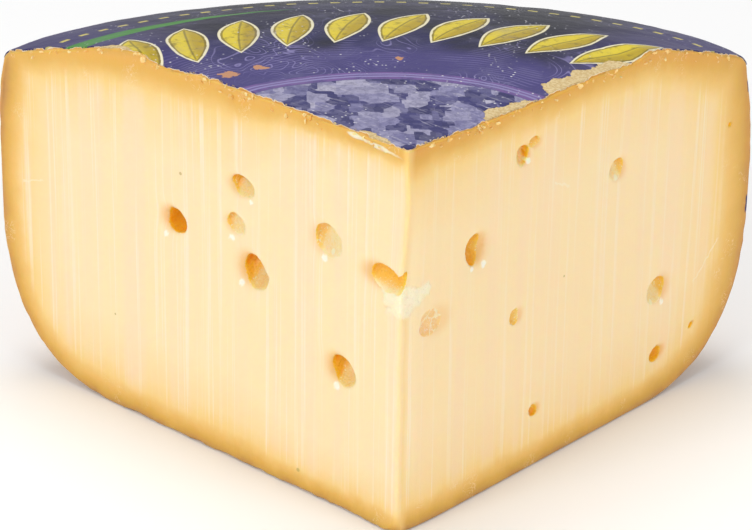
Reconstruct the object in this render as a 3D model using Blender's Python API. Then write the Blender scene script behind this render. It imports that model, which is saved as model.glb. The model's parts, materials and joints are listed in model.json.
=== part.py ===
# A wedge of firm yellow cheese: nearly a quarter of a wheel, with the printed label on its top.
# Metres, +Z up. The tip points to -Y, and the origin is under the middle of the wedge's box.
import math

import bmesh
import bpy
from mathutils import Matrix, Vector, noise

MM = 0.001

# The whole wheel, as a profile turned about its axis
WHEEL_RADIUS = 175 * MM
WHEEL_HEIGHT = 119 * MM
BASE_RADIUS = 122 * MM        # the underside is flat inside this
BELLY_HEIGHT = 59 * MM        # where the side is widest
BASE_SQUARENESS = 2.6         # superellipse exponent of the corner from base to belly
RIM_RADIUS = 168.4 * MM       # the corner between side and top, before it is rounded
RIM_HEIGHT = 106.2 * MM
RIM_ROUNDING = 6 * MM         # how far the rounding reaches along side and top
CROWN_RADIUS = 99 * MM        # the top is flat inside this
CROWN_POWER = 1.76            # how the top falls from the crown to the rim

# The wedge that the two knife cuts leave
TIP_X = 2.1 * MM
TIP_Y = -81.4 * MM
HALF_ANGLE = math.radians(45)
AXIS_X = TIP_X - 4.5 * MM     # the cuts met a little past the wheel's axis
AXIS_Y = TIP_Y - 12.7 * MM
TIP_ROUNDING = 1.2 * MM
TIP_ROUNDING_BASE = 6 * MM    # the tip's lowest corner is worn off
TIP_WEAR_HEIGHT = 7 * MM
EDGE_WEAR = 0.9 * MM          # bevel along every cut edge

# The label: a film laid over the top and a little way down past the rim
FILM_GAP = 0.3 * MM
FILM_THICKNESS = 0.4 * MM
FILM_INSET = 0.8 * MM         # from each cut face
FILM_RAGGED = 0.5 * MM        # how much that edge wanders
FILM_RAGGED_LENGTH = 9 * MM
FILM_DROP = 4 * MM            # how far it reaches down the side below the rim's corner

# Mesh density
BASE_STEPS = 9
SIDE_STEPS = 7
ROUNDING_STEPS = 4
CROWN_STEPS = 7
ARC_STEPS = 30
FILM_CUT_STEPS = 5
TIP_STEPS = 4

# Eyes in the two cut faces: distance from the tip along the cut, height, half width, half height,
# depth, and how far the eye's centre lies behind the cut face, all in mm
LEFT_EYES = (
    (88.0, 71.5, 5.2, 5.6, 6.5, 2.6),
    (61.5, 88.5, 4.9, 4.8, 4.0, 0.8),
    (64.5, 76.3, 3.8, 4.3, 2.8, 0.2),
    (57.5, 65.2, 5.4, 6.2, 7.0, 2.8),
    (28.6, 83.0, 5.2, 6.0, 3.2, 0.2),
    (22.6, 45.0, 5.0, 5.8, 6.0, 2.2),
    (5.0, 80.3, 6.4, 3.9, 5.0, 0.4),
)
RIGHT_EYES = (
    (29.5, 79.6, 6.0, 6.4, 7.0, 2.6),
    (50.0, 104.4, 2.6, 3.6, 3.2, 0.4),
    (53.0, 101.6, 3.0, 2.8, 2.6, 0.3),
    (92.5, 85.3, 3.5, 4.5, 2.8, 0.2),
    (115.3, 37.1, 4.9, 5.8, 4.4, 0.8),
    (48.5, 53.2, 2.8, 2.9, 1.2, 0.1),
    (118.2, 15.8, 2.3, 2.7, 3.0, 0.8),
    (57.9, 18.8, 2.3, 2.1, 1.8, 0.4),
    (10.2, 64.0, 4.9, 5.2, 2.0, 0.1),
)
EYE_SEGMENTS = 14
EYE_RINGS = 9

FLAT_COSINE = 0.9999                  # two faces closer in direction than this are one plane
SHARPEST_BLEND = math.radians(30)     # edges flatter than this are left as they are

CHEESE_COLOUR = (0.92, 0.66, 0.30, 1.0)
FILM_COLOUR = (0.05, 0.05, 0.16, 1.0)


def base_corner():
    """Points (radius, height) from the edge of the flat base out and up to the belly."""
    points = []
    for step in range(BASE_STEPS + 1):
        turn = 0.5 * math.pi * step / BASE_STEPS
        out = math.sin(turn) ** (2 / BASE_SQUARENESS)
        up = 1 - math.cos(turn) ** (2 / BASE_SQUARENESS)
        points.append((BASE_RADIUS + (WHEEL_RADIUS - BASE_RADIUS) * out, BELLY_HEIGHT * up))
    return points


def side_radius(height):
    """The wheel's radius between the belly and the rim's corner."""
    share = (height - BELLY_HEIGHT) / (RIM_HEIGHT - BELLY_HEIGHT)
    return WHEEL_RADIUS - (WHEEL_RADIUS - RIM_RADIUS) * share ** 2


def top_height(radius):
    """The top's height between the flat crown and the rim's corner."""
    share = (radius - CROWN_RADIUS) / (RIM_RADIUS - CROWN_RADIUS)
    return WHEEL_HEIGHT - (WHEEL_HEIGHT - RIM_HEIGHT) * share ** CROWN_POWER


def wheel_profile():
    """The outer profile (radius, height) from the flat base to the flat crown."""
    points = base_corner()
    side_end = RIM_HEIGHT - RIM_ROUNDING
    for step in range(1, SIDE_STEPS + 1):
        height = BELLY_HEIGHT + (side_end - BELLY_HEIGHT) * step / SIDE_STEPS
        points.append((side_radius(height), height))
    top_start = RIM_RADIUS - RIM_ROUNDING
    curve = (points[-1], (RIM_RADIUS, RIM_HEIGHT), (top_start, top_height(top_start)))
    for step in range(1, ROUNDING_STEPS):
        t = step / ROUNDING_STEPS
        weights = ((1 - t) ** 2, 2 * t * (1 - t), t ** 2)
        points.append(tuple(sum(w * p[i] for w, p in zip(weights, curve)) for i in range(2)))
    for step in range(CROWN_STEPS + 1):
        radius = top_start + (CROWN_RADIUS - top_start) * step / CROWN_STEPS
        points.append((radius, top_height(radius)))
    return points


def offset_profile(points, distance):
    """The profile moved outwards along its own normals."""
    moved = []
    for index, (radius, height) in enumerate(points):
        before = points[max(index - 1, 0)]
        after = points[min(index + 1, len(points) - 1)]
        along = Vector((after[0] - before[0], after[1] - before[1])).normalized()
        moved.append((radius + along.y * distance, height - along.x * distance))
    return moved


def cut_direction(side):
    """Unit vector along a cut face, from the tip outwards. side is -1 for left and 1 for right."""
    return Vector((side * math.sin(HALF_ANGLE), math.cos(HALF_ANGLE), 0))


def cut_normal(side):
    """Unit vector that points out of a cut face."""
    return Vector((side * math.cos(HALF_ANGLE), -math.sin(HALF_ANGLE), 0))


def cut_length(side, radius, inset=0.0):
    """Distance from the tip along a cut, moved in by inset, to the given radius from the axis."""
    start = Vector((TIP_X - AXIS_X, TIP_Y - AXIS_Y, 0)) - cut_normal(side) * inset
    along = cut_direction(side)
    half = start.dot(along)
    return -half + math.sqrt(half ** 2 - start.length_squared + radius ** 2)


def cut_point(side, distance, height, inset=0.0):
    """A point on a cut face, or behind it by inset."""
    place = Vector((TIP_X, TIP_Y, height)) + cut_direction(side) * distance
    return place - cut_normal(side) * inset


def tip_rounding(height):
    """Radius of the wedge's upright edge: small, and worn wide at its lowest corner."""
    wear = max(0.0, 1 - height / TIP_WEAR_HEIGHT) ** 2
    return TIP_ROUNDING + (TIP_ROUNDING_BASE - TIP_ROUNDING) * wear


def wedge_outline(radius, height):
    """The wedge's horizontal section at one height, from its tip along the right cut and round."""
    rounding = tip_rounding(height)
    points = []
    for step in range(-TIP_STEPS, TIP_STEPS + 1):
        turn = HALF_ANGLE * step / TIP_STEPS
        centre = TIP_Y + rounding * math.sqrt(2)
        points.append(Vector((TIP_X + rounding * math.sin(turn), centre - rounding * math.cos(turn), height)))
    return points + arc_points(radius, height)


def arc_points(radius, height, inset=0.0):
    """Points on the circle of that radius between the two cuts, from right to left."""
    ends = [cut_point(side, cut_length(side, radius, inset), height, inset) for side in (1, -1)]
    turns = [math.atan2(end.x - AXIS_X, end.y - AXIS_Y) for end in ends]
    points = []
    for step in range(ARC_STEPS + 1):
        turn = turns[0] + (turns[1] - turns[0]) * step / ARC_STEPS
        points.append(Vector((AXIS_X + radius * math.sin(turn), AXIS_Y + radius * math.cos(turn), height)))
    return points


def make_object(name, mesh_data, material):
    """A new object that holds the bmesh."""
    mesh = bpy.data.meshes.new(name)
    mesh_data.to_mesh(mesh)
    mesh_data.free()
    mesh.materials.append(material)
    made = bpy.data.objects.new(name, mesh)
    bpy.context.collection.objects.link(made)
    return made


def make_material(name, colour, roughness):
    """A plain Principled BSDF material."""
    material = bpy.data.materials.new(name)
    material.use_nodes = True
    shader = material.node_tree.nodes["Principled BSDF"]
    shader.inputs["Base Color"].default_value = colour
    shader.inputs["Roughness"].default_value = roughness
    shader.inputs["Metallic"].default_value = 0.0
    return material


def make_wedge(material):
    """The wedge as a stack of horizontal sections, with its cut edges worn."""
    shape = bmesh.new()
    rings = []
    for radius, height in wheel_profile():
        rings.append([shape.verts.new(point) for point in wedge_outline(radius, height)])
    shape.faces.new(list(reversed(rings[0])))
    shape.faces.new(rings[-1])
    for lower, upper in zip(rings, rings[1:]):
        for index in range(len(lower)):
            after = (index + 1) % len(lower)
            shape.faces.new((lower[index], lower[after], upper[after], upper[index]))
    bmesh.ops.recalc_face_normals(shape, faces=shape.faces)
    for side in (-1, 1):
        strips = [face for face in shape.faces if face.normal.dot(cut_normal(side)) > FLAT_COSINE]
        bmesh.ops.dissolve_faces(shape, faces=strips, use_verts=True)
    cut_edges = [edge for edge in shape.edges if is_cut_edge(edge)]
    bmesh.ops.bevel(shape, geom=cut_edges, offset=EDGE_WEAR, segments=1, affect="EDGES")
    return make_object("cheese", shape, material)


def is_cut_edge(edge):
    """Whether an edge lies between a flat cut face and the wheel's own outer surface."""
    on_cut = [any(face.normal.dot(cut_normal(side)) > FLAT_COSINE for side in (1, -1))
              for face in edge.link_faces]
    return on_cut.count(True) == 1 and edge.calc_face_angle() > SHARPEST_BLEND


def make_eye_cutters():
    """One ellipsoid for each eye, half sunk in its cut face."""
    cutters = bpy.data.collections.new("eye cutters")
    bpy.context.scene.collection.children.link(cutters)
    for side, eyes in ((-1, LEFT_EYES), (1, RIGHT_EYES)):
        facing = Matrix((cut_direction(side), cut_normal(side), Vector((0, 0, 1)))).transposed().to_4x4()
        for index, (distance, height, half_width, half_height, depth, sunk) in enumerate(eyes):
            centre = cut_point(side, distance * MM, height * MM, sunk * MM)
            size = Matrix.Diagonal((half_width * MM, depth * MM, half_height * MM, 1))
            shape = bmesh.new()
            bmesh.ops.create_uvsphere(shape, u_segments=EYE_SEGMENTS, v_segments=EYE_RINGS, radius=1)
            bmesh.ops.transform(shape, matrix=Matrix.Translation(centre) @ facing @ size, verts=shape.verts)
            bmesh.ops.recalc_face_normals(shape, faces=shape.faces)
            mesh = bpy.data.meshes.new("eye")
            shape.to_mesh(mesh)
            shape.free()
            cutter = bpy.data.objects.new(f"eye_{side}_{index}", mesh)
            cutter.hide_render = True
            cutter.display_type = "WIRE"
            cutters.objects.link(cutter)
    return cutters


def cut_eyes(wedge, cutters):
    """Cuts the eyes out of the wedge, applies the cut and removes the cutters."""
    cut = wedge.modifiers.new("eyes", "BOOLEAN")
    cut.operation = "DIFFERENCE"
    cut.operand_type = "COLLECTION"
    cut.collection = cutters
    cut.solver = "EXACT"
    depsgraph = bpy.context.evaluated_depsgraph_get()
    result = bpy.data.meshes.new_from_object(wedge.evaluated_get(depsgraph))
    wedge.modifiers.clear()
    wedge.data = result
    for cutter in list(cutters.objects):
        bpy.data.objects.remove(cutter, do_unlink=True)
    bpy.data.collections.remove(cutters)


def film_inset(side, distance):
    """How far the film's edge stays back from a cut face, wandering along the cut."""
    place = Vector((distance / FILM_RAGGED_LENGTH, side * 5.0, 0))
    return FILM_INSET + FILM_RAGGED * (0.5 + 0.5 * noise.noise(place))


def film_row(radius, height):
    """One arc of the film, its ends drawn in along the ragged cut edges."""
    points = arc_points(radius, height, FILM_INSET)
    for index, side in ((0, 1), (-1, -1)):
        distance = cut_length(side, radius)
        inset = film_inset(side, distance)
        points[index] = cut_point(side, cut_length(side, radius, inset), height, inset)
    return points


def film_border(height):
    """The film's edge over the flat crown: in along the left cut to the tip, and out along the right."""
    border = []
    for side in (-1, 1):
        reach = cut_length(side, CROWN_RADIUS)
        steps = range(FILM_CUT_STEPS - 1, 0, -1) if side == -1 else range(1, FILM_CUT_STEPS)
        for step in steps:
            distance = reach * step / FILM_CUT_STEPS
            border.append(cut_point(side, distance, height, film_inset(side, distance)))
        if side == -1:
            border.append(Vector((TIP_X, TIP_Y + (FILM_INSET + TIP_ROUNDING) * math.sqrt(2), height)))
    return border


def make_film(material):
    """The label: strips round the wheel from below the rim to the crown, and a flat inner field."""
    lowest = RIM_HEIGHT - FILM_DROP
    profile = [point for point in wheel_profile() if point[1] > lowest]
    profile = offset_profile(profile, FILM_GAP)
    shape = bmesh.new()
    rows = [[shape.verts.new(point) for point in film_row(radius, height)] for radius, height in profile]
    for lower, upper in zip(rows, rows[1:]):
        for index in range(ARC_STEPS):
            shape.faces.new((lower[index], lower[index + 1], upper[index + 1], upper[index]))
    inner = [shape.verts.new(point) for point in film_border(profile[-1][1])]
    shape.faces.new(rows[-1] + inner)
    bmesh.ops.recalc_face_normals(shape, faces=shape.faces)
    film = make_object("label", shape, material)
    thickness = film.modifiers.new("thickness", "SOLIDIFY")
    thickness.thickness = FILM_THICKNESS
    thickness.offset = 1.0
    thickness.use_even_offset = True
    return film


def shade(made, angle):
    """Smooth shading, with sharp edges kept."""
    made.data.shade_smooth()
    made.data.set_sharp_from_angle(angle=math.radians(angle))


def main():
    for existing in list(bpy.data.objects):
        bpy.data.objects.remove(existing, do_unlink=True)
    wedge = make_wedge(make_material("cheese", CHEESE_COLOUR, 0.45))
    cut_eyes(wedge, make_eye_cutters())
    film = make_film(make_material("label film", FILM_COLOUR, 0.3))
    shade(wedge, 40)
    shade(film, 40)


main()
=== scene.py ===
import json
import math
from collections import namedtuple
from contextlib import contextmanager

import bmesh
import bpy
import numpy as np
from mathutils import Matrix, Vector

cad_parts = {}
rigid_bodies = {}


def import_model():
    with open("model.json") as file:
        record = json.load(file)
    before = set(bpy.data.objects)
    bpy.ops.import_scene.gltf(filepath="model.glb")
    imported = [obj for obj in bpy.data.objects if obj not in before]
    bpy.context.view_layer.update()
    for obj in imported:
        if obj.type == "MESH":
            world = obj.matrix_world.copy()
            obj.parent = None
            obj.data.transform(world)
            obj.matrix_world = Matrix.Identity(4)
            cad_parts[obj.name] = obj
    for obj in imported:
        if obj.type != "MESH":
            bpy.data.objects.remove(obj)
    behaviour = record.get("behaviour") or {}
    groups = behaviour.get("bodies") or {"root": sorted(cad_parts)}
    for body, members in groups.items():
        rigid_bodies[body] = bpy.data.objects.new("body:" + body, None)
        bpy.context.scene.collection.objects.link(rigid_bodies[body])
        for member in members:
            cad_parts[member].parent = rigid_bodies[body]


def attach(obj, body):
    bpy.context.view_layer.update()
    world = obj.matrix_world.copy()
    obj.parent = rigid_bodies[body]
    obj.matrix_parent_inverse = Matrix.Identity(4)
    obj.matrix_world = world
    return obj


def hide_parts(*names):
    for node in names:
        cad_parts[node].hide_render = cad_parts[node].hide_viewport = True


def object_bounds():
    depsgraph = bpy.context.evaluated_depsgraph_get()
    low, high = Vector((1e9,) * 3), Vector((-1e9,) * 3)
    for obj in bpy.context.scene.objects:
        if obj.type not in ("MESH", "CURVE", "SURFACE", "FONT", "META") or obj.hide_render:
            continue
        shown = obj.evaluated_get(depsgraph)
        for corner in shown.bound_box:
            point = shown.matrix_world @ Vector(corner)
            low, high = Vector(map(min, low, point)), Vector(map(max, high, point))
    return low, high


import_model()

# The looks of a wedge of firm yellow cheese, in metres, +Z up, with its tip towards -Y.
CAD_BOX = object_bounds()
MM = 0.001

# The whole wheel, as a profile turned about its axis
WHEEL_RADIUS = 175 * MM
WHEEL_HEIGHT = 119 * MM
BASE_RADIUS = 122 * MM
BELLY_HEIGHT = 59 * MM
BASE_SQUARENESS = 2.6
RIM_RADIUS = 168.4 * MM
RIM_HEIGHT = 106.2 * MM
RIM_ROUNDING = 2.5 * MM
CROWN_RADIUS = 99 * MM
CROWN_POWER = 1.76

# The two cuts, at right angles, and the wheel's axis a little in front of where they meet
TIP = np.array((2.1 * MM, -81.4 * MM, 0.0))
AXIS = TIP + np.array((-4.5 * MM, -12.7 * MM, 0.0))
HALF_ANGLE = math.radians(45)

# How near vertices lie to a face, or to the rind, that they are on
ON_FACE = 1e-6
ON_RIND = 2e-5

# Wear along the edges
EDGE_ROUNDING = 0.9 * MM
EDGE_ROUNDING_SPREAD = 0.5 * MM
EDGE_WANDER = 4 * MM
TIP_ROUNDING = 1.2 * MM
TIP_ROUNDING_BASE = 6 * MM
TIP_WEAR_HEIGHT = 7 * MM
TIP_WOBBLE = 0.35 * MM
TIP_WOBBLE_LENGTH = 26 * MM
TIP_LEAN = 1.5 * MM           # the tip's lower part leans to the left by this
TIP_LEAN_TOP = 105 * MM
TIP_LEAN_FULL = 76 * MM
TIP_REACH = 10 * MM           # how far behind the tip its lean is felt

# Knife marks and unevenness of the cut faces, and of the rind
STREAK_DEPTH = 0.07 * MM
STREAK_WIDTH = 2.2 * MM
SWELL_DEPTH = 0.35 * MM
SWELL_WIDTH = 28 * MM
MARK_LENGTH = 70 * MM
FACE_MARGIN = 4 * MM          # the marks fade out this near to the tip and the rind
RIND_DENT = 0.45 * MM
DENT_WIDTH = 17 * MM
DENT_HEIGHT = 12 * MM
LEFT_START = 0.1 * MM         # taken off a run on the left cut, so that it's below zero at the tip too

# How far the top edges of the cuts rise or have sagged: run from the tip and rise, in mm
EDGE_RISES = {
    -1: ((0, 0), (20, 0.1), (40, 0.2), (74, 0.2), (82, 0), (91, -1.5), (98, -1.3), (104, 1.0), (109, 1.3),
         (121, 0.3), (134, -1.0), (146, -1.8), (157, -2.6), (166, -2.8)),
    1: ((0, 0), (13, -0.5), (30, -1.0), (58, -1.5), (83, -1.0), (92, -1.6), (100, -1.4), (107, 1.3),
        (119, 0.2), (131, -1.3), (142, -2.1), (152, -2.9), (157, -3.4)),
}
EDGE_REACH = 13 * MM
EDGE_DROP = 34 * MM
CORNER_PUSH = 2.8 * MM        # the left cut's top corner stands out by this
CORNER_REACH = 30 * MM

# The label film, and the stretches where it is torn to its backing: run at which each starts and ends,
# and its width, in mm
FILM_LIFT = 0.35 * MM
FILM_FOOT = 104 * MM          # height of its lower border on the wheel's side
FILM_SKIRT = 0.9 * MM
FILM_INSET = 0.75 * MM
FILM_RAGGED = 0.45 * MM
FILM_WAVES = 0.12 * MM
FILM_NARROWEST = 0.4 * MM
TEARS = {-1: ((6, 20, 2.2), (108, 124, 2.6)), 1: ((32, 55, 3.4), (60, 99, 4.4))}
TEAR_OPENING = 4 * MM         # run over which a tear widens
TEAR_CLOSING = 5 * MM
TEAR_WANDER = 5 * MM
FILM_ROWS_STEP = 0.7 * MM
FILM_COLUMNS = 150
BORDER_STEPS = tuple(step * MM for step in (0.0, 0.2, 0.45, 0.75, 1.1, 1.5, 2.0, 2.6, 3.3, 4.2, 5.3))

# Mesh density
FINE = 1.0
CUT_COLUMNS = int(150 * FINE)
PROFILE_ROWS = int(140 * FINE)
ARC_COLUMNS = int(80 * FINE)
END_CROWDING = 0.6            # how strongly the columns crowd towards the edges
TIP_COLUMNS = tuple(step * MM for step in (0.25, 0.5, 0.8, 1.15, 1.55, 2.0, 2.6, 3.3))
EYE_FINENESS = 5
SMALL_EYE = 4.2 * MM
FINE_REACH = 1.7              # the grid is finer round an eye, out to this many times its size

# Eyes in the cut faces, in mm and degrees. run is the distance from the tip along the cut, sunk how far the
# centre lies behind the face, and lean how far the eye is turned in it. amber is how amber its wall is, deep
# amber partly as painted shade, and fade the share of the wall that turns pale, as painted light, and leans
# open, on the side that toward gives: 0 is away from the tip, 90 up, 180 to the tip and 270 down.
Eye = namedtuple("Eye", "run height half_width half_height depth sunk lean amber fade toward")
EYES = {
    -1: (
        Eye(91.4, 70.0, 4.5, 4.0, 7.0, 2.6, 8, 0.76, 0.0, 0),
        Eye(63.2, 89.2, 4.6, 3.2, 4.0, 0.6, 0, 0.62, 0.36, 235),
        Eye(65.6, 76.6, 4.0, 3.1, 2.8, 0.2, 6, 0.45, 0.4, 200),
        Eye(58.5, 63.9, 5.5, 5.2, 7.0, 1.2, 10, 0.8, 0.25, 242),
        Eye(29.2, 82.7, 5.2, 5.0, 3.2, 0.2, 8, 0.45, 0.42, 220),
        Eye(23.8, 44.2, 5.0, 4.7, 6.2, 1.2, 8, 0.76, 0.25, 235),
        Eye(6.6, 79.2, 6.9, 3.9, 3.0, 0.0, 0, 0.78, 0.3, 270),
    ),
    1: (
        Eye(29.6, 80.0, 4.1, 4.9, 6.4, 1.0, -6, 0.8, 0.3, 0),
        Eye(49.6, 102.8, 2.8, 3.3, 3.2, 0.6, 10, 0.72, 0.3, 180),
        Eye(54.4, 105.1, 2.4, 2.1, 2.2, 0.2, 0, 0.5, 0.25, 270),
        Eye(93.8, 84.3, 3.6, 3.7, 2.6, 0.3, 12, 0.55, 0.38, 225),
        Eye(117.0, 37.2, 4.9, 4.5, 3.4, 0.4, 12, 0.6, 0.36, 235),
        Eye(48.9, 52.6, 2.4, 2.5, 2.2, 0.1, 0, 0.5, 0.3, 0),
        Eye(118.7, 15.2, 3.3, 2.4, 3.4, 0.9, 10, 0.76, 0.0, 0),
        Eye(58.5, 18.6, 2.2, 2.0, 2.0, 0.4, 0, 0.66, 0.25, 90),
        Eye(11.8, 63.4, 5.8, 4.5, 2.0, 0.0, 0, 0.34, 0.0, 0),
        Eye(136.2, 19.2, 1.3, 0.9, 1.4, 0.3, 30, 0.76, 0.0, 0),
        Eye(150.2, 83.0, 1.1, 0.8, 1.2, 0.2, 0, 0.76, 0.0, 0),
    ),
}
CRACKED_EYE = EYES[1][8]

# Painted white highlights on the eyes' wet lower lips: run, height and size in mm
PAINTED_HIGHLIGHT_SPOTS = {
    -1: ((95.4, 64.8, 1.2), (68.0, 72.0, 1.5), (64.3, 58.8, 1.4), (31.0, 77.4, 1.5), (28.8, 79.8, 1.0),
         (26.3, 38.7, 1.5), (19.6, 42.6, 0.9), (60.0, 85.6, 1.0)),
    1: ((34.0, 74.1, 1.4), (28.6, 74.3, 1.0), (52.6, 100.2, 1.2), (94.5, 82.0, 1.1), (120.3, 32.8, 1.2),
        (115.4, 34.1, 0.9)),
}

# Torn patches by the tip, under the notch and below the top edge: run, height, half sizes in mm, slope and
# strength. Here and below, run is negative on the left cut.
SCARS = ((0.3, 73.4, 10.0, 5.0, 0.15, 1.0), (-12.0, 117.2, 12.0, 0.8, -0.09, 0.75))
SCAR_ROUGHNESS = 0.4 * MM
SCAR_RAGGED = 3 * MM
SCAR_GRAIN = 1.6 * MM

# Small specks, as run, height and size in mm, and long scratches, as run and height at both ends
SPECKS = ((-89.0, 86.0, 0.7), (-41.0, 6.0, 0.8), (-118.0, 31.0, 0.5), (71.0, 58.0, 0.5))
SCRATCHES = ((-159.0, 63.0, -149.0, 66.0), (135.0, 34.0, 148.0, 46.0), (64.0, 90.0, 72.0, 86.5))

# Scraps of film left on the right cut's outer edge: height and half height in mm
FILM_SCRAPS = ((93.5, 2.4), (53.0, 3.6))

# Chips of rind and crumbs along the top edges, with their run, gap behind the face and drop in mm
CHIP_COUNT = 70
CHIP_RUN = (4, 150)
CHIP_GAP = 0.5
CHIP_DROP = 2.6
CHIP_SIZES = (0.3 * MM, 0.85 * MM)
CHIP_FLATNESS = 0.35
CHIP_UNEVEN = 0.18
CHIP_SEED = 5

# Walls of the eyes and the soft hollows round them
EYE_UNEVEN = 0.09             # share of its size by which an eye's wall wanders
EYE_GRAIN = 0.12 * MM
EYE_TILT = 2.6                # slope by which an eye leans away from its pale side, for a fade of 1
DIMPLE_SHARE = 0.30           # depth of the soft hollow round an eye, as a share of its depth
DIMPLE_REACH = 1.3            # its reach, as a share of the eye's mean size
DIMPLE_SHIFT = 0.6            # it lies to the eye's outer side by this share
DIMPLE_FALL = 1.6
RIM_EDGE = 1.2 * MM           # only shorter edges carry the rims' softening on


# Noise

def scatter(x, y, seed):
    """A fixed pseudo-random value from -1 to 1 for each whole-numbered cell."""
    mixed = np.sin(x * 127.1 + y * 311.7 + seed * 74.7) * 43758.5453
    return 2 * (mixed - np.floor(mixed)) - 1


def noise(x, y, seed=0):
    """Smooth noise from -1 to 1 that varies over a distance of about one."""
    cell_x, cell_y = np.floor(x), np.floor(y)
    across, up = x - cell_x, y - cell_y
    across, up = across * across * (3 - 2 * across), up * up * (3 - 2 * up)
    low = scatter(cell_x, cell_y, seed) * (1 - across) + scatter(cell_x + 1, cell_y, seed) * across
    high = scatter(cell_x, cell_y + 1, seed) * (1 - across) + scatter(cell_x + 1, cell_y + 1, seed) * across
    return low * (1 - up) + high * up


def rough(x, y, octaves, seed=0):
    """Layers of noise, each half as large and twice as fine as the last."""
    total = 0.0
    for octave in range(octaves):
        total = total + noise(x * 2 ** octave, y * 2 ** octave, seed + octave) / 2 ** octave
    return total


def smooth(low, high, value):
    """0 below low, 1 above high, and smooth between them."""
    share = np.clip((value - low) / (high - low), 0, 1)
    return share * share * (3 - 2 * share)


# The wedge's form

def top_height(radius):
    """The top's height at a radius from the wheel's axis."""
    share = np.clip((radius - CROWN_RADIUS) / (RIM_RADIUS - CROWN_RADIUS), 0, None)
    return WHEEL_HEIGHT - (WHEEL_HEIGHT - RIM_HEIGHT) * share ** CROWN_POWER


def fine_profile(steps=160):
    """Closely spaced points (radius, height) from the edge of the flat base to the flat crown."""
    turn = np.linspace(0, 0.5 * math.pi, steps)
    out = np.sin(turn) ** (2 / BASE_SQUARENESS)
    up = 1 - np.cos(turn) ** (2 / BASE_SQUARENESS)
    corner = np.stack((BASE_RADIUS + (WHEEL_RADIUS - BASE_RADIUS) * out, BELLY_HEIGHT * up), 1)
    height = np.linspace(BELLY_HEIGHT, RIM_HEIGHT - RIM_ROUNDING, steps)[1:]
    share = (height - BELLY_HEIGHT) / (RIM_HEIGHT - BELLY_HEIGHT)
    side = np.stack((WHEEL_RADIUS - (WHEEL_RADIUS - RIM_RADIUS) * share ** 2, height), 1)
    radius = np.linspace(RIM_RADIUS - RIM_ROUNDING, CROWN_RADIUS, steps)
    top = np.stack((radius, top_height(radius)), 1)
    t = np.linspace(0, 1, steps)[1:-1, None]
    rim = np.array((RIM_RADIUS, RIM_HEIGHT))
    rounding = (1 - t) ** 2 * side[-1] + 2 * t * (1 - t) * rim + t ** 2 * top[0]
    return np.concatenate((corner, side, rounding, top))


def walk(points, shares):
    """Points at the given shares of a path's length."""
    run = np.concatenate(([0.0], np.cumsum(np.linalg.norm(np.diff(points, axis=0), axis=1))))
    return np.stack([np.interp(shares * run[-1], run, points[:, axis]) for axis in range(points.shape[1])], 1)


def crowded(count):
    """Shares from 0 to 1 that lie closer together at both ends."""
    even = np.linspace(0, 1, count + 1)
    return (1 - END_CROWDING) * even + END_CROWDING * (0.5 - 0.5 * np.cos(math.pi * even))


def cut_direction(side):
    """Along a cut face, from the tip outwards. side is -1 for left and 1 for right."""
    return np.array((side * math.sin(HALF_ANGLE), math.cos(HALF_ANGLE), 0.0))


def cut_normal(side):
    """Out of a cut face."""
    return np.array((side * math.cos(HALF_ANGLE), -math.sin(HALF_ANGLE), 0.0))


def cut_length(side, radius, inset=0.0):
    """Distance from the tip along a cut, moved in by inset, to the given radius from the axis."""
    start = (TIP - AXIS)[:2] - np.multiply.outer(np.asarray(inset), cut_normal(side)[:2])
    half = start @ cut_direction(side)[:2]
    return -half + np.sqrt(np.maximum(half ** 2 - (start ** 2).sum(-1) + radius ** 2, 0))


def cut_distance(points, side):
    """How far points lie behind a cut face."""
    return -(points - TIP) @ cut_normal(side)


def cut_run(points, side):
    """How far points lie from the tip, along a cut."""
    return (points - TIP) @ cut_direction(side)


def axis_radius(points):
    """Distance of points from the wheel's axis."""
    return np.hypot(points[:, 0] - AXIS[0], points[:, 1] - AXIS[1])


def axis_turn(points):
    """Angle of points about the wheel's axis, from +Y towards +X."""
    return np.arctan2(points[:, 0] - AXIS[0], points[:, 1] - AXIS[1])


class Outer:
    """The wheel's outer surface, for distances to it and its normals."""

    def __init__(self):
        ends = np.array(((0.0, 0.0),)), np.array(((0.0, WHEEL_HEIGHT),))
        self.line = np.concatenate((ends[0], walk(fine_profile(), np.linspace(0, 1, 240)), ends[1]))

    def nearest(self, points):
        """(distance to the outer surface, its outward normal there) for each point."""
        place = np.stack((axis_radius(points), points[:, 2]), 1)
        start, step = self.line[:-1], np.diff(self.line, axis=0)
        length = (step ** 2).sum(1)
        best, best_index = np.full(len(place), np.inf), np.zeros(len(place), int)
        for index in range(len(start)):
            share = np.clip((place - start[index]) @ step[index] / length[index], 0, 1)
            gap = np.linalg.norm(start[index] + share[:, None] * step[index] - place, axis=1)
            closer = gap < best
            best[closer], best_index[closer] = gap[closer], index
        along = step[best_index] / np.sqrt(length[best_index])[:, None]
        outward = (points[:, :2] - AXIS[:2]) / np.maximum(place[:, 0], 1e-9)[:, None]
        normal = np.concatenate((outward * along[:, 1:2], -along[:, 0:1]), 1)
        return best, normal


OUTER = Outer()


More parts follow.
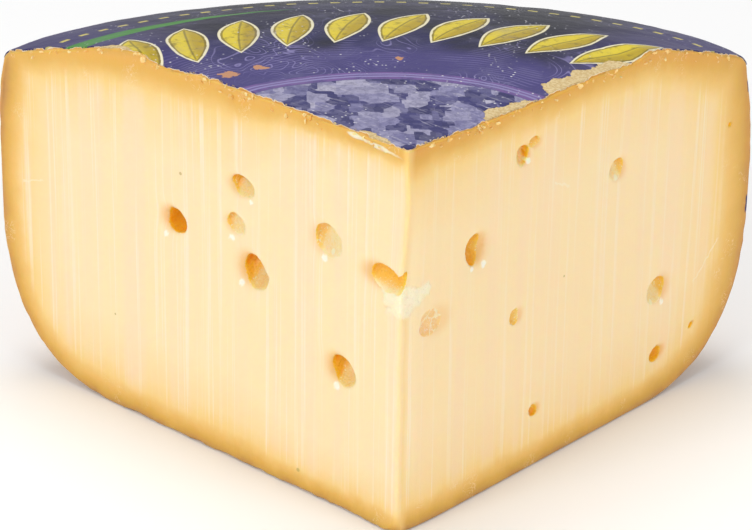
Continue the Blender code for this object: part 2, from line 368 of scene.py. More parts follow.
def wedge_grids():
    """Vertices of the wedge, and the index grids of its left cut, right cut and rind."""
    shares = crowded(PROFILE_ROWS)
    profile = walk(fine_profile(), shares)
    along = np.union1d(crowded(CUT_COLUMNS), np.array(TIP_COLUMNS) / WHEEL_RADIUS)[:, None]
    vertices, grids = [], {}
    count = 0
    for side in (-1, 1):
        reach = cut_length(side, profile[:, 0])
        run = along * reach
        height = (1 - along) * (shares * WHEEL_HEIGHT) + along * profile[:, 1]
        places = TIP + run[..., None] * cut_direction(side) + height[..., None] * np.array((0, 0, 1.0))
        grid = count + np.arange(run.size).reshape(run.shape)
        if side == 1:
            grid = np.concatenate((grids[-1][:1], grid[:-1]))
            places = places[1:]
        vertices.append(places.reshape(-1, 3))
        count += len(vertices[-1])
        grids[side] = grid
    flat = np.concatenate(vertices)
    ends = [flat[grids[side][-1]] for side in (-1, 1)]
    turns = [np.arctan2(end[:, 0] - AXIS[0], end[:, 1] - AXIS[1]) for end in ends]
    across = crowded(ARC_COLUMNS)[1:-1, None]
    turn = turns[0] + (turns[1] - turns[0]) * across
    rind = np.stack((AXIS[0] + profile[:, 0] * np.sin(turn), AXIS[1] + profile[:, 0] * np.cos(turn),
                     np.broadcast_to(profile[:, 1], turn.shape)), -1)
    grid = count + np.arange(turn.size).reshape(turn.shape)
    grids[0] = np.concatenate((grids[-1][-1:], grid, grids[1][-1:]))
    return np.concatenate((flat, rind.reshape(-1, 3))), grids


def quads(grid):
    """Faces between the rows and columns of an index grid."""
    corners = (grid[:-1, :-1], grid[1:, :-1], grid[1:, 1:], grid[:-1, 1:])
    return np.stack([corner.ravel() for corner in corners], 1)


def rounded(near, far, near_normal, far_normal, radius):
    """How vertices on one surface move where an edge with a second surface is worn round.

    near is their distance to the first surface, zero on it, and far to the second.
    """
    on_it = (near < ON_FACE) & (far < radius)
    turn = (1 - np.where(on_it, far / radius, 1)) * 0.25 * math.pi
    inward = radius * (1 - np.cos(turn))
    back = radius * (1 - np.sin(turn)) - far
    move = -inward[:, None] * near_normal - back[:, None] * far_normal
    return np.where(on_it[:, None], move, 0)


def edge_radius(points):
    """The uneven rounding along the edges round a cut face."""
    place = points / EDGE_WANDER
    wander = rough(place[:, 0] - place[:, 1], place[:, 2], 3, 11)
    return EDGE_ROUNDING + EDGE_ROUNDING_SPREAD * np.clip(wander, -0.8, 1.6)


def wear_edges(points):
    """The vertices with the wedge's edges worn round."""
    left, right = cut_distance(points, -1), cut_distance(points, 1)
    outer, outer_normal = OUTER.nearest(points)
    outer = np.where(outer < ON_RIND, 0, outer)
    left, right = [np.where(gap < ON_FACE, 0, gap) for gap in (left, right)]
    radius = edge_radius(points)
    tip_wear = np.clip(1 - points[:, 2] / TIP_WEAR_HEIGHT, 0, 1) ** 2
    tip_radius = TIP_ROUNDING + (TIP_ROUNDING_BASE - TIP_ROUNDING) * tip_wear
    moved = points.copy()
    for gap, side in ((left, -1), (right, 1)):
        moved += rounded(gap, outer, cut_normal(side), outer_normal, radius)
        off_cut = np.where(gap > 0, outer, 1)
        moved += rounded(off_cut, gap, outer_normal, cut_normal(side), radius)
    moved += rounded(left, right, cut_normal(-1), cut_normal(1), tip_radius)
    on_right = np.where(left > 0, right, 1)
    moved += rounded(on_right, left, cut_normal(1), cut_normal(-1), tip_radius)
    return moved


def eye_frame(side, eye):
    """An eye's centre, its axes along the cut and up, both turned by its lean, and its half sizes."""
    centre = TIP + (cut_direction(side) * eye.run - cut_normal(side) * eye.sunk) * MM
    centre = centre + np.array((0, 0, eye.height * MM))
    lean = math.radians(eye.lean)
    across = cut_direction(side) * math.cos(lean) + np.array((0, 0, math.sin(lean)))
    up = np.array((0, 0, math.cos(lean))) - cut_direction(side) * math.sin(lean)
    return centre, across, up, np.array((eye.half_width, eye.depth, eye.half_height)) * MM


def placed_eyes(side):
    """Each eye of a cut face, with its centre, its two axes and its half sizes."""
    for eye in EYES[side]:
        yield eye, *eye_frame(side, eye)


def eye_axis(side, eye, across, up):
    """An eye's third axis, out of the face, that leans so that the wall on its pale side lies open."""
    toward = math.radians(eye.toward)
    return cut_normal(side) + EYE_TILT * eye.fade * (across * math.cos(toward) + up * math.sin(toward))


def dimples(points, side):
    """How far the soft hollows round the eyes sink a cut face."""
    sunk = np.zeros(len(points))
    for _, centre, across, up, size in placed_eyes(side):
        reach = DIMPLE_REACH * 0.5 * (size[0] + size[2])
        x = (points - centre) @ across / reach - DIMPLE_SHIFT
        y = (points - centre) @ up / reach
        sunk += size[1] * DIMPLE_SHARE * np.exp(-DIMPLE_FALL * (x * x + y * y))
    return sunk


def signed_run(points):
    """The distance from the tip along the nearer cut, below zero all along the left one."""
    on_left = cut_distance(points, -1) < cut_distance(points, 1)
    return np.where(on_left, -cut_run(points, -1) - LEFT_START, cut_run(points, 1))


def scar(points):
    """How far places belong to a torn patch, from 0 to 1."""
    run, height = signed_run(points) / MM, points[:, 2] / MM
    ragged = 0.35 * rough(points[:, 0] / SCAR_RAGGED, points[:, 2] / SCAR_RAGGED, 3, 71)
    torn = np.zeros(len(points))
    for place, middle, half_run, half_height, slope, strength in SCARS:
        x = (run - place) / half_run
        y = (height - middle - slope * (run - place)) / half_height
        torn = np.maximum(torn, strength * smooth(1.25, 0.45, np.sqrt(x * x + y * y) + ragged))
    return torn


def knife_marks(run, height, seed):
    """Upright marks that the knife leaves: fine streaks and slow swells."""
    drift = 0.6 * noise(run / (30 * MM), height / (60 * MM), seed + 5)
    streaks = rough(run / STREAK_WIDTH + drift, height / MARK_LENGTH, 2, seed)
    swell = rough(run / SWELL_WIDTH, height / MARK_LENGTH, 2, seed + 3)
    return STREAK_DEPTH * streaks + SWELL_DEPTH * swell


def settle(points):
    """How points near the top edges of the cuts have risen, sagged or been pushed out."""
    moved = np.zeros_like(points)
    below = WHEEL_HEIGHT - points[:, 2]
    for side, rises in EDGE_RISES.items():
        near = np.exp(-np.maximum(cut_distance(points, side), 0) / EDGE_REACH)
        rise = np.interp(cut_run(points, side) / MM, *zip(*rises)) * MM
        moved[:, 2] += rise * near * smooth(EDGE_DROP, 0.4 * EDGE_DROP, below)
    gap = np.maximum(cut_distance(points, -1), 0)
    share = np.exp(-gap / CORNER_REACH) * smooth(1.6 * EDGE_DROP, 0.4 * EDGE_DROP, below)
    share *= smooth(RIM_RADIUS - CORNER_REACH, RIM_RADIUS, axis_radius(points))
    return moved + CORNER_PUSH * share[:, None] * cut_direction(-1)


def face_relief(points, side, outer):
    """How far knife marks, dimples and torn patches sink a cut face. outer is the distance to the rind."""
    run, height = cut_run(points, side), points[:, 2]
    on_face = smooth(0.5 * MM, 0.0, cut_distance(points, side)) * smooth(0, FACE_MARGIN, outer)
    on_face = on_face * smooth(0, FACE_MARGIN, run)
    marks = knife_marks(run, height, 30 + 10 * side) + SWELL_DEPTH
    tears = SCAR_ROUGHNESS * scar(points) * (1 + rough(run / SCAR_GRAIN, height / SCAR_GRAIN, 3, 70))
    return on_face * np.maximum(marks + dimples(points, side) + tears, 0)


def tip_shift(points):
    """How far points near the tip are moved to the right by its wandering and its lean."""
    height = points[:, 2]
    to_tip = np.hypot(points[:, 0] - TIP[0], points[:, 1] - TIP[1])
    lean = TIP_LEAN * smooth(TIP_LEAN_TOP, TIP_LEAN_FULL, height)
    wobble = TIP_WOBBLE * rough(height / TIP_WOBBLE_LENGTH, 0.0, 3, 7) * smooth(0, 12 * MM, height)
    return (wobble - lean) * np.exp(-(to_tip / TIP_REACH) ** 2)


def rind_dents(points, outer):
    """How far the uneven rind is sunk on the wheel's side."""
    height = points[:, 2]
    on_side = smooth(0.5 * MM, 0.0, outer) * smooth(0, 8 * MM, height) * smooth(108 * MM, 98 * MM, height)
    dents = rough(axis_turn(points) * WHEEL_RADIUS / DENT_WIDTH, height / DENT_HEIGHT, 3, 60)
    return on_side * RIND_DENT * np.maximum(0.9 + dents, 0.6)


def add_relief(points):
    """The worn vertices with knife marks, dimples, a wandering tip and an uneven rind."""
    outer, outer_normal = OUTER.nearest(points)
    moved = points.copy()
    for side in EYES:
        moved -= face_relief(points, side, outer)[:, None] * cut_normal(side)
    moved += settle(points)
    moved[:, 0] += tip_shift(points)
    moved -= rind_dents(points, outer)[:, None] * outer_normal
    return moved


def add(name, data):
    """A new object in the scene."""
    made = bpy.data.objects.new(name, data)
    bpy.context.scene.collection.objects.link(made)
    return made


def held_in_box(points):
    """The points held inside the CAD's box."""
    return np.clip(points, CAD_BOX[0], CAD_BOX[1])


def make_piece(name, vertices, faces, material):
    """A new mesh object."""
    mesh = bpy.data.meshes.new(name)
    mesh.from_pydata(vertices.tolist(), [], [list(face) for face in faces])
    mesh.materials.append(material)
    mesh.validate()
    return add(name, mesh)


@contextmanager
def editing(mesh):
    """The mesh in its editable form, which is written back at the end."""
    shape = bmesh.new()
    shape.from_mesh(mesh)
    yield shape
    shape.to_mesh(mesh)
    shape.free()


def refine_near_eyes(shape):
    """Divides the cut faces' grid more finely round the eyes."""
    edges = set()
    for side in EYES:
        for eye, centre, across, up, size in placed_eyes(side):
            for face in shape.faces:
                away = np.array(face.calc_center_median()) - centre
                if len(face.verts) > 4 or abs(away @ cut_normal(side)) > eye.sunk * MM + 1e-5:
                    continue
                x, y = away @ across / size[0] - 0.3 * DIMPLE_SHIFT, away @ up / size[2]
                if x * x + y * y < FINE_REACH ** 2:
                    edges.update(face.edges)
    bmesh.ops.subdivide_edges(shape, edges=list(edges), cuts=1, use_grid_fill=True)


def wedge_mesh(material):
    """The wedge without its eyes."""
    vertices, grids = wedge_grids()
    faces = []
    for side, step in ((-1, -1), (0, -1), (1, 1)):
        faces.extend(quads(grids[side])[:, ::step].tolist())
    for column, step in ((-1, -1), (0, 1)):
        around = (grids[-1][:, column], grids[0][1:-1, column], grids[1][::-1, column][:-1])
        faces.append(np.concatenate(around)[::step].tolist())
    piece = make_piece("cheese_body", vertices, faces, material)
    with editing(piece.data) as shape:
        bmesh.ops.recalc_face_normals(shape, faces=shape.faces)
        refine_near_eyes(shape)
    points = held_in_box(add_relief(wear_edges(vertex_places(piece.data))))
    piece.data.vertices.foreach_set("co", points.astype(np.float32).ravel())
    return piece


def eye_cutter(side, eye, seed):
    """A closed uneven ball that hollows out one eye."""
    centre, across, up, size = eye_frame(side, eye)
    out = eye_axis(side, eye, across, up)
    fineness = EYE_FINENESS - 1 if max(size[0], size[2]) < SMALL_EYE else EYE_FINENESS
    mesh = bpy.data.meshes.new("eye")
    with editing(mesh) as shape:
        bmesh.ops.create_icosphere(shape, subdivisions=fineness, radius=1)
        for vert in shape.verts:
            x, y, z = vert.co
            wander = rough(np.array(x * 1.3 + z * 0.7 + seed), np.array(z * 1.3 + y * 0.9), 2, seed)
            grain = rough(np.array(x * 9 + z * 4), np.array(z * 9 + y * 8), 2, seed + 9)
            stretch = 1 + EYE_UNEVEN * float(wander) + float(grain) * EYE_GRAIN / size.max()
            place = centre + across * x * size[0] * stretch + up * z * size[2] * stretch
            vert.co = place + out * y * size[1] * stretch
        if side > 0:
            bmesh.ops.reverse_faces(shape, faces=shape.faces)
    mesh.polygons.foreach_set("material_index", np.ones(len(mesh.polygons), np.int32))
    return bpy.data.objects.new(f"eye_{seed}", mesh)


def cut_eyes(piece, wall_material):
    """Hollows the eyes out of the wedge and softens their rims."""
    piece.data.materials.append(wall_material)
    cutters = bpy.data.collections.new("eye cutters")
    bpy.context.scene.collection.children.link(cutters)
    seed = 100
    for side, eyes in EYES.items():
        for eye in eyes:
            seed += 1
            cutters.objects.link(eye_cutter(side, eye, seed))
    cut = piece.modifiers.new("eyes", "BOOLEAN")
    cut.operation = "DIFFERENCE"
    cut.operand_type = "COLLECTION"
    cut.collection = cutters
    cut.solver = "EXACT"
    result = bpy.data.meshes.new_from_object(piece.evaluated_get(bpy.context.evaluated_depsgraph_get()))
    piece.modifiers.clear()
    piece.data = result
    for cutter in list(cutters.objects):
        bpy.data.objects.remove(cutter, do_unlink=True)
    bpy.data.collections.remove(cutters)
    soften_rims(piece.data)


def soften_rims(mesh, rings=3, passes=7):
    """Smooths the vertices on and next to the rims of the eyes."""
    with editing(mesh) as shape:
        rim = {vert for edge in shape.edges
               if len({face.material_index for face in edge.link_faces}) > 1 for vert in edge.verts}
        for _ in range(rings):
            rim |= {edge.other_vert(vert) for vert in rim for edge in vert.link_edges
                    if edge.calc_length() < RIM_EDGE}
        for _ in range(passes):
            bmesh.ops.smooth_vert(shape, verts=list(rim), factor=0.5, use_axis_x=True, use_axis_y=True,
                                  use_axis_z=True)


def store(mesh, name, values):
    """Keeps one number for each vertex, for the materials."""
    attribute = mesh.attributes.new(name, "FLOAT", "POINT")
    attribute.data.foreach_set("value", np.asarray(values, np.float32))


def vertex_places(mesh):
    """The mesh's vertices as an array."""
    places = np.empty(len(mesh.vertices) * 3)
    mesh.vertices.foreach_get("co", places)
    return places.reshape(-1, 3)


def painted_eye_glow(points):
    """How much painted amber glow lies on the thin cheese on the outer side of an eye, for light shining
    through it.
    """
    glow = np.zeros(len(points))
    for side in EYES:
        near_face = smooth(4 * MM, 2 * MM, cut_distance(points, side))
        for eye, centre, across, up, size in placed_eyes(side):
            x = (points - centre) @ across / size[0] - 0.45
            y = (points - centre) @ up / size[2]
            glow = np.maximum(glow, eye.amber * near_face * smooth(1.6, 0.6, np.sqrt(x * x + y * y)) ** 2)
    return glow


def wall_amber(points):
    """How amber the wall of the nearest eye is, the deep amber partly painted shade and the paler share
    painted light on its open side, and whether that eye is the cracked one.
    """
    nearest, amber, cracked = np.full(len(points), np.inf), np.zeros(len(points)), np.zeros(len(points))
    for side in EYES:
        near_lip = smooth(1.8 * MM, 0.3 * MM, cut_distance(points, side))
        for eye, centre, across, up, size in placed_eyes(side):
            away = points - centre
            depth = away @ cut_normal(side)
            away = away - depth[:, None] * eye_axis(side, eye, across, up)
            out, deep, high = away @ across / size[0], depth / size[1], away @ up / size[2]
            off = np.abs(np.sqrt(out * out + deep * deep + high * high) - 1)
            toward = math.radians(eye.toward)
            reach = (2 * out - 1) * math.cos(toward) + high * math.sin(toward)
            painted_lit_share = smooth(1.15 - 2 * eye.fade, 1.75 - 2 * eye.fade, reach)
            at_lip = near_lip * smooth(0.3, 0.9, reach) * (eye.fade > 0)
            closer = off < nearest
            nearest[closer] = off[closer]
            amber[closer] = (eye.amber * (1 - 0.75 * painted_lit_share) * (1 - at_lip))[closer]
            cracked[closer] = float(eye is CRACKED_EYE)
    return amber, cracked


def painted_highlights(points):
    """Where the painted highlights on the wet lips lie, from 0 to 1."""
    shine = np.zeros(len(points))
    for side, spots in PAINTED_HIGHLIGHT_SPOTS.items():
        near_face = smooth(5 * MM, 3 * MM, cut_distance(points, side))
        run = cut_run(points, side) / MM
        for place, height, size in spots:
            away = np.hypot(run - place, points[:, 2] / MM - height)
            shine = np.maximum(shine, near_face * smooth(1.3 * size, 0.4 * size, away))
    return shine


def mark_cheese(mesh):
    """Keeps what the materials read at each vertex."""
    points = vertex_places(mesh)
    amber, cracked = wall_amber(points)
    behind_cut = np.minimum(cut_distance(points, -1), cut_distance(points, 1))
    for name, values in (("rind_depth", OUTER.nearest(points)[0]), ("painted_eye_glow", painted_eye_glow(points)),
                         ("eye_amber", amber), ("eye_cracked", cracked), ("painted_highlights", painted_highlights(points)),
                         ("scar", scar(points)), ("cut_run", signed_run(points)),
                         ("on_cut", smooth(3 * MM, 1 * MM, behind_cut))):
        store(mesh, name, values)


def chip_places(side, count, draws):
    """Places along a cut's top edge, with their sizes."""
    run = draws.uniform(*CHIP_RUN, count) * MM
    gap = draws.uniform(0, CHIP_GAP, count) * MM
    places = TIP + run[:, None] * cut_direction(side) - gap[:, None] * cut_normal(side)
    drop = draws.uniform(0, 1, count) ** 3 * CHIP_DROP * MM
    places[:, 2] = top_height(axis_radius(places)) - EDGE_ROUNDING * 0.6 - drop
    return held_in_box(places + settle(places)), draws.uniform(*CHIP_SIZES, count)


def make_chips(material):
    """Small chips of rind and crumbs that cling along the top edges of the cuts."""
    draws = np.random.default_rng(CHIP_SEED)
    mesh = bpy.data.meshes.new("crumbs")
    with editing(mesh) as shape:
        for side in EYES:
            for place, size in zip(*chip_places(side, CHIP_COUNT, draws)):
                stretch = size * np.append(draws.uniform(0.6, 1.6, 2), CHIP_FLATNESS)
                turn = Matrix.Rotation(draws.uniform(0, math.pi), 4, draws.normal(size=3))
                spot = Matrix.Translation(place) @ turn @ Matrix.Diagonal((*stretch, 1))
                made = bmesh.ops.create_icosphere(shape, subdivisions=2, radius=1, matrix=spot)
                for vert in made["verts"]:
                    uneven = draws.uniform(-CHIP_UNEVEN, CHIP_UNEVEN, 3) * size
                    vert.co = held_in_box(vert.co + Vector(uneven))
    mesh.materials.append(material)
    return add("crumbs", mesh)


# The label film

def tear_width(side, run):
    """Width of the strip torn to the backing at a run from the tip along a cut."""
    width = np.zeros_like(run)
    wander = 1 + 0.45 * rough(run / TEAR_WANDER, side + 0.5, 3, 80)
    for start, end, full in TEARS[side]:
        opened = smooth(start * MM, start * MM + TEAR_OPENING, run)
        width += full * MM * opened * smooth(end * MM, end * MM - TEAR_CLOSING, run) * wander
    return width


def film_border(side, radius):
    """Where the film's torn border along a cut crosses circles about the wheel's axis."""
    run = cut_length(side, radius)
    inset = FILM_INSET + FILM_RAGGED * np.maximum(rough(run / (3.5 * MM), side * 3.0, 3, 90), -0.8)
    run = cut_length(side, radius, inset)
    place = (TIP - AXIS)[:2] - inset[:, None] * cut_normal(side)[:2] + run[:, None] * cut_direction(side)[:2]
    return np.arctan2(place[:, 0], place[:, 1])


def film_rows():
    """(radius, height) from near the tip over the rim to the film's foot, and (outward, upward) normals."""
    top = fine_profile()[::-1]
    top = top[top[:, 1] >= FILM_FOOT]
    start = np.linalg.norm((TIP - AXIS)[:2]) + FILM_INSET + FILM_RAGGED
    line = np.concatenate((((start, WHEEL_HEIGHT),), top))
    length = np.linalg.norm(np.diff(line, axis=0), axis=1).sum()
    places = walk(line, np.linspace(0, 1, int(length / FILM_ROWS_STEP * FINE)))
    along = np.gradient(places, axis=0)
    along /= np.linalg.norm(along, axis=1)[:, None]
    return places, np.stack((-along[:, 1], along[:, 0]), 1)


def film_grid():
    """The film's places and outward normals on a grid, and each place's distance to its cut borders."""
    rows, normals = film_rows()
    left, right = film_border(-1, rows[:, 0]), film_border(1, rows[:, 0])
    keep = (right - left) * rows[:, 0] > FILM_NARROWEST
    rows, normals, left, right = [value[keep] for value in (rows, normals, left, right)]
    radius = rows[:, 0]
    width = ((right - left) * radius)[:, None]
    edge = np.array(BORDER_STEPS) * np.minimum(1, 0.42 * width / BORDER_STEPS[-1])
    middle = np.linspace(0, 1, int(FILM_COLUMNS * FINE))[1:-1]
    inner = width - 2 * edge[:, -1:]
    run = np.concatenate((edge, edge[:, -1:] + inner * middle, width - edge[:, ::-1]), 1)
    turn = left[:, None] + run / radius[:, None]
    flat = np.stack((np.sin(turn), np.cos(turn)), -1)
    upright = turn.shape + (1,)
    places = np.concatenate((AXIS[:2] + flat * radius[:, None, None],
                             np.broadcast_to(rows[:, 1, None, None], upright)), -1)
    outward = np.concatenate((flat * normals[:, 0, None, None],
                              np.broadcast_to(normals[:, 1, None, None], upright)), -1)
    return places, outward, run, width - run


def film_lift(flat, to_border, torn):
    """How far the film's upper side lies above the cheese."""
    waves = FILM_WAVES * rough(flat[:, 0] / (9 * MM), flat[:, 1] / (9 * MM), 3, 95)
    pits = 0.12 * MM * rough(flat[:, 0] / (0.9 * MM), flat[:, 1] / (0.9 * MM), 2, 97)
    lift = FILM_LIFT + waves * smooth(0, 3 * MM, to_border)
    return lift + smooth(0, 0.8 * MM, torn) * (pits - 0.14 * MM)


def make_film(material):
    """The label film, with a skirt down to the cheese along its border."""
    places, outward, from_left, from_right = film_grid()
    flat, normal = places.reshape(-1, 3), outward.reshape(-1, 3)
    gaps = {-1: from_left.ravel(), 1: from_right.ravel()}
    torn = np.maximum(*[tear_width(side, cut_run(flat, side)) - gap for side, gap in gaps.items()])
    to_border = np.minimum(*gaps.values())
    surface = flat + film_lift(flat, to_border, torn)[:, None] * normal
    surface = held_in_box(surface + settle(flat))
    index = np.arange(len(flat)).reshape(places.shape[:2])
    ring = np.concatenate((index[0], index[1:, -1], index[-1, -2::-1], index[-2:0:-1, 0]))
    skirt = surface[ring] - FILM_SKIRT * normal[ring]
    below = len(flat) + np.arange(len(ring))
    hanging = np.stack((ring, np.roll(ring, -1), np.roll(below, -1), below), 1)
    faces = np.concatenate((quads(index), hanging)).tolist()
    film = make_piece("label_film", np.concatenate((surface, skirt)), faces, material)
    with editing(film.data) as shape:
        bmesh.ops.recalc_face_normals(shape, faces=shape.faces)
    store(film.data, "border", np.concatenate((to_border, np.full(len(ring), -FILM_SKIRT))))
    store(film.data, "torn", np.concatenate((torn, torn[ring])))
    film.data.shade_smooth()
    return film


# Materials

def operation(name):
    """One kind of Math node, as a method of a Field."""
    return lambda self, other=0.0: self.paint.math(name, self, other)


class Field:
    """A number that varies over a surface, held as a socket of a material's nodes."""

    def __init__(self, paint, socket):
        self.paint = paint
        self.socket = socket

    __add__ = __radd__ = operation("ADD")
    __sub__ = operation("SUBTRACT")
    __mul__ = __rmul__ = operation("MULTIPLY")
    __truediv__ = operation("DIVIDE")
    __abs__ = operation("ABSOLUTE")

    def __rsub__(self, other):
        return self.paint.math("SUBTRACT", other, self)


class Paint:
    """Builds a material's nodes from short calls."""

    def __init__(self, name):
        self.material = bpy.data.materials.new(name)
        self.material.use_nodes = True
        self.tree = self.material.node_tree
        self.shader = self.tree.nodes["Principled BSDF"]
        self.place = self.node("ShaderNodeTexCoord").outputs["Object"]

    def node(self, kind, **settings):
        """A new node with the given settings."""
        made = self.tree.nodes.new(kind)
        for key, value in settings.items():
            setattr(made, key, value)
        return made

    def feed(self, socket, value):
        """Links or sets an input."""
        value = value.socket if isinstance(value, Field) else value
        if isinstance(value, bpy.types.NodeSocket):
            self.tree.links.new(value, socket)
        else:
            socket.default_value = value

    def math(self, operation, first, second=0.0):
        """A number from one Math node."""
        made = self.node("ShaderNodeMath", operation=operation)
        self.feed(made.inputs[0], first)
        self.feed(made.inputs[1], second)
        return Field(self, made.outputs[0])

    def split(self):
        """The place's three coordinates."""
        made = self.node("ShaderNodeSeparateXYZ")
        self.feed(made.inputs[0], self.place)
        return [Field(self, output) for output in made.outputs]

    def span(self, value, low, high, start=0.0, end=1.0, smoothed=True):
        """value from low to high, carried to start to end, and held beyond them."""
        made = self.node("ShaderNodeMapRange", interpolation_type="SMOOTHSTEP" if smoothed else "LINEAR")
        for socket, given in zip(made.inputs, (value, low, high, start, end)):
            self.feed(socket, given)
        return Field(self, made.outputs[0])

    def fall(self, value, low, high, start=1.0):
        """start at low, falling to 0 at high."""
        return self.span(value, low, high, start, 0.0)

    def away(self, x, y):
        """The distance of (x, y) from (0, 0)."""
        return self.math("SQRT", x * x + y * y)

    def from_middle(self, value):
        """How far a value is from the middle between whole numbers."""
        return abs(self.math("FRACT", value) - 0.5)

    def attribute(self, name):
        """A number kept for each vertex."""
        return Field(self, self.node("ShaderNodeAttribute", attribute_name=name).outputs["Fac"])

    def vector(self, x, y, z=0.0):
        """A vector from three numbers."""
        made = self.node("ShaderNodeCombineXYZ")
        for socket, value in zip(made.inputs, (x, y, z)):
            self.feed(socket, value)
        return made.outputs[0]

    def noise(self, scale, detail=3.0, roughness=0.5, warp=0.0, at=None):
        """Noise from 0 to 1 at the place, or at another vector."""
        made = self.node("ShaderNodeTexNoise")
        self.feed(made.inputs["Vector"], self.place if at is None else at)
        settings = {"Scale": scale, "Detail": detail, "Roughness": roughness, "Distortion": warp}
        for key, value in settings.items():
            made.inputs[key].default_value = value
        return Field(self, made.outputs["Fac"])

    def cells(self, scale, output="Distance", distance="EUCLIDEAN", feature="F1", at=None):
        """Cells from a Voronoi texture at the place, or at another vector."""
        made = self.node("ShaderNodeTexVoronoi", distance=distance, feature=feature)
        self.feed(made.inputs["Vector"], self.place if at is None else at)
        made.inputs["Scale"].default_value = scale
        return Field(self, made.outputs[output])

    def ramp(self, factor, stops):
        """Colours along a ramp, from (position, colour) pairs."""
        made = self.node("ShaderNodeValToRGB")
        elements = made.color_ramp.elements
        while len(elements) < len(stops):
            elements.new(0.5)
        for element, (position, colour) in zip(elements, stops):
            element.position = position
            element.color = (*colour, 1)
        self.feed(made.inputs[0], factor)
        return made.outputs["Color"]

    def mix(self, factor, first, second):
        """Two colours mixed."""
        made = self.node("ShaderNodeMix", data_type="RGBA")
        self.feed(made.inputs[0], factor)
        for socket, value in ((made.inputs[6], first), (made.inputs[7], second)):
            self.feed(socket, value if isinstance(value, bpy.types.NodeSocket) else (*value, 1))
        return made.outputs[2]

    def layered(self, colour, layers):
        """A colour under (mask, colour) layers, the last one on top."""
        for mask, over in layers:
            colour = self.mix(mask, colour, over)
        return colour

    def bump(self, height, distance):
        """A bump on the shader's normal."""
        made = self.node("ShaderNodeBump")
        made.inputs["Distance"].default_value = distance
        self.feed(made.inputs["Height"], height)
        if self.shader.inputs["Normal"].is_linked:
            self.feed(made.inputs["Normal"], self.shader.inputs["Normal"].links[0].from_socket)
        self.feed(self.shader.inputs["Normal"], made.outputs[0])

    def set(self, **values):
        """Values or links for the shader's sockets, named with underscores for spaces."""
        for key, value in values.items():
            self.feed(self.shader.inputs[key.replace("_", " ")], value)


def tone(red, green, blue):
    """A colour as the eye reads it, from 0 to 255, as the light values the shader takes."""
    levels = [value / 255 for value in (red, green, blue)]
    return tuple(level / 12.92 if level <= 0.04045 else ((level + 0.055) / 1.055) ** 2.4 for level in levels)


# Colours of the cheese. The rind's run from the outer surface to RIND_SPAN below it.
RIND_SPAN = 30 * MM
RIND_DRIFT = 5 * MM
RIND_TONES = ((0.0, tone(184, 134, 70)), (0.03, tone(200, 150, 80)), (0.07, tone(213, 164, 76)),
              (0.12, tone(224, 176, 82)), (0.21, tone(238, 192, 106)), (0.34, tone(248, 211, 136)),
              (0.55, tone(253, 220, 162)), (1.0, tone(254, 227, 180)))
PEACH = tone(254, 222, 188)
PALE_STREAK = tone(255, 234, 202)
LINE_TONE = tone(255, 235, 212)
# Painted glow beside the eyes, for light shining through the thin cheese
PAINTED_EYE_GLOW = tone(232, 168, 66)
# Eye walls: the deep amber stands partly for painted shade deep in the eye, the pale end for painted light on
# its open side
EYE_TONES = ((0.0, tone(255, 231, 186)), (0.2, tone(255, 218, 144)), (0.55, tone(254, 202, 88)),
             (0.76, tone(255, 196, 52)), (1.0, tone(226, 156, 50)))
CHIP_TONES = ((0.35, tone(252, 226, 166)), (0.65, tone(236, 180, 92)))
TOP_AMBER = tone(249, 188, 88)
TOP_AMBER_SHADE = tone(234, 168, 68)
RIND_SCUFF = tone(232, 184, 106)
# Dark scuffs on the rind, and the painted shade line along the right cut's outer edge
RIND_DARK_AND_EDGE_SHADE = tone(150, 98, 44)
SPECK_TONE = tone(196, 170, 96)
# Painted white highlight
PAINTED_HIGHLIGHT = tone(255, 251, 236)
SCAR_TONE = tone(255, 239, 205)
RIGHT_TINT = tone(252, 212, 156)
DISC_TONE = tone(255, 206, 146)
# Pale cracks, and the painted glints and highlights on the eye walls
PALE_CRACK_AND_HIGHLIGHT = tone(255, 240, 206)
APEX_TONE = tone(246, 212, 138)

# Colours of the label film and its print
NAVY = tone(16, 17, 36)
INDIGO = tone(40, 38, 88)
# Violet of the print, also used for the painted sheen towards the film's ends
VIOLET_AND_SHEEN = tone(68, 60, 122)
LAVENDER = tone(136, 128, 178)
BAND = tone(110, 82, 144)
FACET_TONES = ((0.0, tone(30, 29, 80)), (0.46, tone(54, 52, 110)), (0.56, tone(132, 129, 168)),
               (1.0, tone(184, 180, 198)))
FACET_LIGHT = tone(196, 192, 206)
YELLOW = tone(220, 198, 50)
OCHRE = tone(180, 154, 30)
OLIVE = tone(112, 98, 34)
CREAM = tone(232, 224, 190)
GREEN = tone(62, 134, 48)
DASH = tone(204, 190, 100)
HAZE = tone(112, 110, 142)
FLECK = tone(206, 204, 212)
TAN = tone(190, 136, 100)
BACKING = tone(218, 196, 148)
BACKING_PIT = tone(202, 174, 122)
TORN_LINE = tone(236, 218, 184)
RIM_AMBER = tone(226, 170, 84)

# The print's ring of leaves, in mm and degrees, and the spots rubbed bare: x, y and size in mm
LEAF_RING = 112.0
LEAF_STEP = 8.5
LEAF_LENGTH = 17.5
LEAF_WIDTH = 6.4
LEAF_LEAN = 22.0
BARE_SPOTS = ((-46.0, -24.5, 2.4), (-37.0, -19.0, 1.8), (3.2, -12.3, 1.2))

# The print's other rings, as radii in mm, and its ribbon and dashes, with turns in degrees
FACETS_END = 66.0
BAND_END = 71.0
INNER_LINE = (67.6, 68.2)
OUTER_LINE = (69.4, 69.8)
RIBBON_RADIUS = 139.0
RIBBON_WIDTH = 5.4
RIBBON_ENDS = (-44.0, -8.0)
DASH_RING = (151.0, 152.6)
DASH_STEP = 2.6


